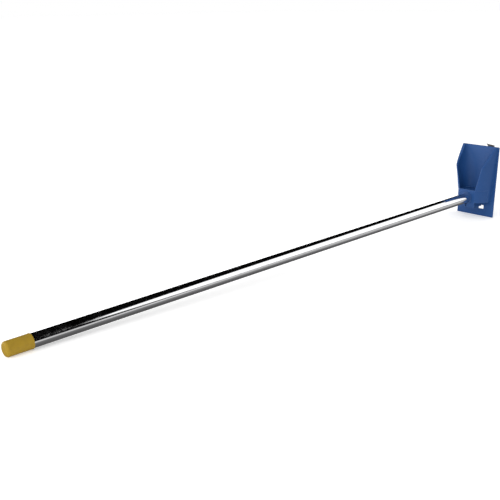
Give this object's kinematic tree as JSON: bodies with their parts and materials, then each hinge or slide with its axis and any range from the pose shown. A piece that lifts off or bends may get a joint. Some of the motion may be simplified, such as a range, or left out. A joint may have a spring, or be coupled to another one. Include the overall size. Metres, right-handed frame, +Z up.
{
  "type": "long-handled scoop tool",
  "caption": "Moulded scoop head with a flat back plate, sloping side walls and a steel hook, held in a split clamp socket on a long straight tube with a push-on end cap.",
  "frame": {"origin": "on the floor, under the middle of the bounding box of the tool as it lies", "axes": "+Z up; +Y along the tool towards the back of the plate, the end cap at the -Y end; +X across the plate, to the right as seen from the cap. The tool lies on the plate's lower back edge and on the cap, so the plate leans back by 2.95 degrees."},
  "size_m": [0.106, 1.3496, 0.1857],
  "materials": {
    "head_plastic": "moulded blue plastic with a fine satin grain",
    "polished_tube": "bright chromium plate on a drawn tube",
    "cap_vinyl": "mustard yellow dipped vinyl, soft sheen",
    "liner_plastic": "dark blue-black nylon",
    "plug_plastic": "black nylon",
    "zinc_steel": "zinc-plated steel",
    "dark_steel": "dark blackened steel with worn grey edges"
  },
  "bodies": {
    "head": {"scoop_head": "head_plastic", "socket_liner": "liner_plastic", "clamp_nut": "zinc_steel", "top_hook": "dark_steel", "hook_screws": "zinc_steel"},
    "handle": {"handle_tube": "polished_tube", "tube_plug": "plug_plastic"},
    "cap": {"end_cap": "cap_vinyl"},
    "washer": {"clamp_washer": "zinc_steel"},
    "screw": {"clamp_screw": "zinc_steel"}
  },
  "joints": [
    {"name": "handle_turn", "type": "hinge", "parent": "head", "child": "handle", "pos_m": [0, 0.61193, 0.0518], "axis": [0, -0.9996, -0.0299], "continuous": true},
    {"name": "cap_pull", "type": "slide", "parent": "handle", "child": "cap", "axis": [0, -0.9996, -0.0299], "range_m": [0, 0.0445]},
    {"name": "screw_travel", "type": "slide", "parent": "head", "child": "washer", "axis": [-1, 0, 0], "range_m": [0, 0.0016]},
    {"name": "screw_turn", "type": "hinge", "parent": "washer", "child": "screw", "pos_m": [-0.019, 0.63275, 0.03287], "axis": [-1, 0, 0], "range_deg": [0, 720]}
  ],
  "couplings": [
    {"joint": "screw_turn", "follows": "screw_travel", "rad_per_m": 7854}
  ]
}
